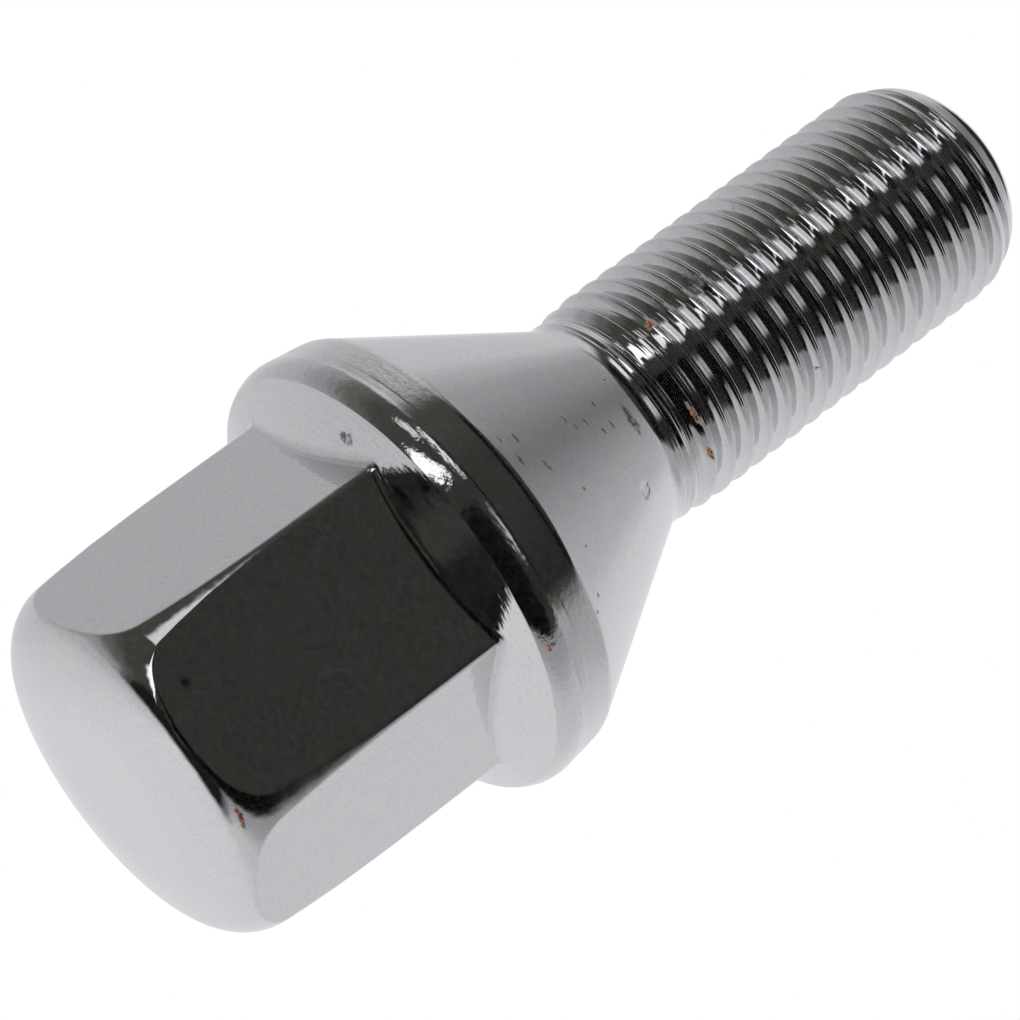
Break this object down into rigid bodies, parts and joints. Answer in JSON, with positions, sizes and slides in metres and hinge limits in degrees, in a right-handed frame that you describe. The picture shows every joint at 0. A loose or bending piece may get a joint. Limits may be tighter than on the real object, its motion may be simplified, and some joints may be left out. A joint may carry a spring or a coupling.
{
  "type": "wheel bolt",
  "caption": "Chrome-plated wheel bolt with a tall crowned hex head, a round collar, a conical seat and a fine-threaded shank.",
  "frame": {"origin": "centre of the flat on the crown of the head, on the surface that the bolt stands on", "axes": "+Z along the bolt's axis, from the head towards the tip of the thread; two flats of the hex face along +Y and -Y"},
  "size_m": [0.0236, 0.0236, 0.0552],
  "materials": {
    "chrome_plate": "bright chrome plating, lightly scratched and pitted, with a few rust specks"
  },
  "bodies": {
    "root": {"wheel_bolt": "chrome_plate"}
  },
  "joints": []
}
